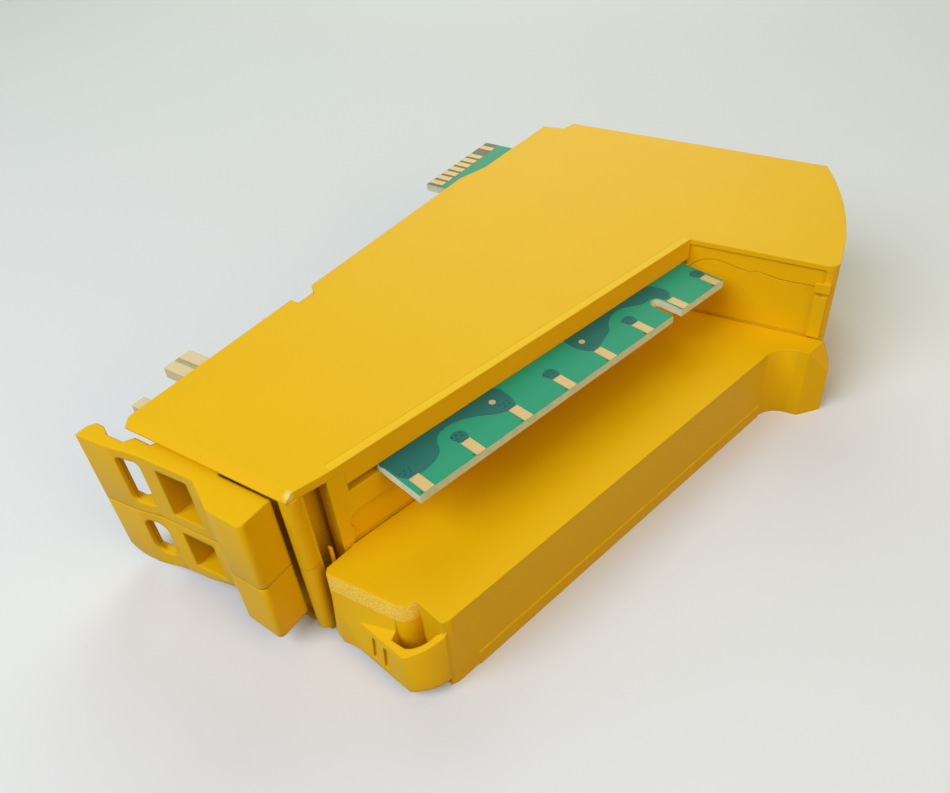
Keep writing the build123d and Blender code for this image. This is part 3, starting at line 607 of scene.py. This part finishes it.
COPPER_LIFT = 0.012
COPPER_HALF_THICKNESS = 0.004
POUR_LEVER_END = (
    (6.65, -0.05), (6.7, -1.7), (6.8, -3.5), (7.5, -4.55), (9.4, -4.9), (11.9, -4.4),
    (13.0, -3.6), (13.7, -2.3), (14.4, -1.6), (15.7, -1.2), (17.5, -1.35), (19.6, -2.3),
    (22.8, -4.5), (24.7, -4.5), (25.3, -3.3), (25.5, -2.1), (25.1, -0.05),
)
POUR_HEAD_END = (
    (38.5, -0.05), (38.3, -0.9), (38.4, -2.8), (39.4, -4.5), (40.8, -4.4), (42.8, -3.8),
    (44.5, -3.1), (45.5, -2.1), (47.3, -1.1), (49.2, -0.9), (50.9, -1.7), (52.3, -2.5),
    (54.9, -2.9), (55.6, -4.3), (56.8, -4.2), (57.6, -3.0), (57.4, -1.5), (56.5, -0.05),
)
PATCH = ((-1.0, -3.0), (-0.6, -2.7), (0.2, -2.6), (0.9, -3.0), (0.7, -4.5), (-0.7, -4.5), (-1.0, -3.8))
PATCHED_PADS = (1, 3, 5, 7)


def copper_film(name, outline):
    """A thin film with a smooth outline, lying on the board."""
    curve = bpy.data.curves.new(name, "CURVE")
    curve.dimensions = "2D"
    curve.fill_mode = "BOTH"
    curve.extrude = COPPER_HALF_THICKNESS * MM
    curve.resolution_u = 5
    line = curve.splines.new("BEZIER")
    line.bezier_points.add(len(outline) - 1)
    line.use_cyclic_u = True
    for point, (x, y) in zip(line.bezier_points, outline):
        point.co = place_front(x, y, 0)
        point.handle_left_type = point.handle_right_type = "AUTO"
    mesh = settle(new_object(name, curve))
    mesh.transform(Matrix.Translation((0, 0, (BOARD_TOP + COPPER_LIFT) * MM)))
    add_piece(name, mesh, COPPER_TEAL, "case")


copper_film("copper_lever_end", POUR_LEVER_END)
copper_film("copper_head_end", POUR_HEAD_END)
for number in PATCHED_PADS:
    pad_middle = PAD_FIRST + number * PAD_PITCH
    copper_film("copper_patch_%d" % (number + 1), [(pad_middle + x, y) for x, y in PATCH])


# Vias behind each pad, made as one row of groups

VIA_SPOTS = ((-0.82, -3.18), (-0.17, -3.18), (0.50, -3.20), (0.33, -3.70), (-0.50, -3.74), (-0.98, -7.2))
VIA_RADIUS = 0.11
VIA_THICKNESS = 0.006
VIA_LIFT = 0.01


def make_via_tree():
    """Places a group of small discs at every pad of the row."""
    tree = bpy.data.node_groups.new("via_row", "GeometryNodeTree")
    for label, kind, value in (
        ("Count", "NodeSocketInt", PAD_COUNT),
        ("Step", "NodeSocketVector", (0, 0, 0)),
        ("Radius", "NodeSocketFloat", VIA_RADIUS * MM),
    ):
        tree.interface.new_socket(name=label, in_out="INPUT", socket_type=kind).default_value = value
    tree.interface.new_socket(name="Geometry", in_out="OUTPUT", socket_type="NodeSocketGeometry")
    start = tree.nodes.new("NodeGroupInput")
    end = tree.nodes.new("NodeGroupOutput")
    row = tree.nodes.new("GeometryNodeMeshLine")
    tree.links.new(start.outputs["Count"], row.inputs["Count"])
    tree.links.new(start.outputs["Step"], row.inputs["Offset"])
    disc = tree.nodes.new("GeometryNodeMeshCylinder")
    disc.inputs["Vertices"].default_value = 12
    disc.inputs["Depth"].default_value = VIA_THICKNESS * MM
    tree.links.new(start.outputs["Radius"], disc.inputs["Radius"])
    group = tree.nodes.new("GeometryNodeJoinGeometry")
    origin = place_front(0, 0, 0)
    for x, y in VIA_SPOTS:
        move = tree.nodes.new("GeometryNodeTransform")
        move.inputs["Translation"].default_value = place_front(x, y, 0) - origin
        tree.links.new(disc.outputs["Mesh"], move.inputs["Geometry"])
        tree.links.new(move.outputs["Geometry"], group.inputs["Geometry"])
    copies = tree.nodes.new("GeometryNodeInstanceOnPoints")
    tree.links.new(row.outputs["Mesh"], copies.inputs["Points"])
    tree.links.new(group.outputs["Geometry"], copies.inputs["Instance"])
    real = tree.nodes.new("GeometryNodeRealizeInstances")
    tree.links.new(copies.outputs["Instances"], real.inputs["Geometry"])
    paint = tree.nodes.new("GeometryNodeSetMaterial")
    paint.inputs["Material"].default_value = VIA_DARK
    tree.links.new(real.outputs["Geometry"], paint.inputs["Geometry"])
    tree.links.new(paint.outputs["Geometry"], end.inputs["Geometry"])
    return tree


def make_vias():
    tree = make_via_tree()
    draft = new_object("vias", bpy.data.meshes.new("vias"))
    row = draft.modifiers.new("row", "NODES")
    row.node_group = tree
    sockets = {item.name: item.identifier for item in tree.interface.items_tree if item.in_out == "INPUT"}
    row[sockets["Count"]] = PAD_COUNT
    row[sockets["Step"]] = tuple(place_front(PAD_PITCH, 0, 0) - place_front(0, 0, 0))
    row[sockets["Radius"]] = VIA_RADIUS * MM
    mesh = settle(draft)
    mesh.transform(Matrix.Translation(place_front(PAD_FIRST, 0, BOARD_TOP + COPPER_LIFT + VIA_LIFT)))
    add_piece("vias", mesh, VIA_DARK, "case")


make_vias()


# Camera at the photograph's place, with its perspective and off-centre crop

PHOTO_WIDTH = 950
FOCAL_PIXELS = 838.9
CENTRE_OFFSET_PIXELS = 53.0
CAMERA_PLACE = (-39.09, -81.70, 89.74)
CAMERA_RIGHT = (0.5085, -0.8602, -0.0387)
CAMERA_FORWARD = (0.6452, 0.4105, -0.6444)


def make_camera():
    data = bpy.data.cameras.new("photo_camera")
    data.sensor_fit = "HORIZONTAL"
    data.sensor_width = 36.0
    data.lens = FOCAL_PIXELS / PHOTO_WIDTH * data.sensor_width
    data.shift_x = -CENTRE_OFFSET_PIXELS / PHOTO_WIDTH
    data.clip_start = 0.005
    camera = new_object("photo_camera", data)
    forward = Vector(CAMERA_FORWARD).normalized()
    right = Vector(CAMERA_RIGHT)
    right = (right - forward * right.dot(forward)).normalized()
    up = right.cross(forward)
    turn = Matrix((right, up, -forward)).transposed().to_4x4()
    camera.matrix_world = Matrix.Translation(place(*CAMERA_PLACE)) @ turn
    bpy.context.scene.camera = camera


# Studio: a pale floor and backdrop, and five soft lamps, tinted for the shaded sides of the yellow case

FLOOR_RADIUS = 0.5
FLOOR_SEEN = (0.74, 0.76, 0.92)
FLOOR_BOUNCED = (0.20, 0.19, 0.17)
BACKDROP_SEEN = (0.80, 0.80, 0.81)
BACKDROP_LIGHT = (0.07, 0.07, 0.07)
LIGHT_DISTANCE = 0.6
LIGHT_SIZE = 0.45
LIGHT_TARGET = Vector((0.0, 0.0, 0.01))
# Name, azimuth and elevation in degrees, power in watts, colour
LIGHTS = (
    ("window", 165, 45, 2.62, (1.0, 1.05, 0.98)),
    ("front_fill", 255, 45, 1.10, (1.0, 0.86, 0.50)),
    ("front_low", 255, 15, 0.80, (1.0, 0.66, 0.25)),
    ("back_high", 30, 45, 1.02, (0.95, 1.08, 0.75)),
    ("back_low", 30, 18, 0.68, (1.0, 1.02, 0.60)),
)


def make_world():
    world = bpy.data.worlds.new("studio")
    bpy.context.scene.world = world
    world.use_nodes = True
    tree = world.node_tree
    tree.nodes.clear()
    colour = mix_colour(tree, seen_directly(tree), BACKDROP_LIGHT, BACKDROP_SEEN)
    shade = tree.nodes.new("ShaderNodeBackground")
    out = tree.nodes.new("ShaderNodeOutputWorld")
    tree.links.new(colour, shade.inputs["Color"])
    tree.links.new(shade.outputs["Background"], out.inputs["Surface"])


def make_floor():
    mesh = bpy.data.meshes.new("floor")
    form = bmesh.new()
    bmesh.ops.create_circle(form, cap_ends=True, radius=FLOOR_RADIUS, segments=96)
    form.to_mesh(mesh)
    form.free()
    material, tree, shader = new_material("floor_paper", 0.9, 0.1)
    paper = mix_colour(tree, seen_directly(tree), FLOOR_BOUNCED, FLOOR_SEEN)
    tree.links.new(paper, shader.inputs["Base Color"])
    mesh.materials.append(material)
    new_object("floor", mesh)


def studio_light(name, azimuth, elevation, power, colour):
    """A soft disc lamp at a fixed distance, given by its direction from the object."""
    turn, rise = math.radians(azimuth), math.radians(elevation)
    away = Vector((math.cos(turn) * math.cos(rise), math.sin(turn) * math.cos(rise), math.sin(rise)))
    data = bpy.data.lights.new(name, "AREA")
    data.shape = "DISK"
    data.size = LIGHT_SIZE
    data.energy = power
    data.color = colour
    light = new_object(name, data)
    light.location = away * LIGHT_DISTANCE
    light.rotation_euler = (LIGHT_TARGET - light.location).to_track_quat("-Z", "Y").to_euler()


make_camera()
make_world()
make_floor()
for light in LIGHTS:
    studio_light(*light)

bpy.context.scene.view_settings.view_transform = "Standard"
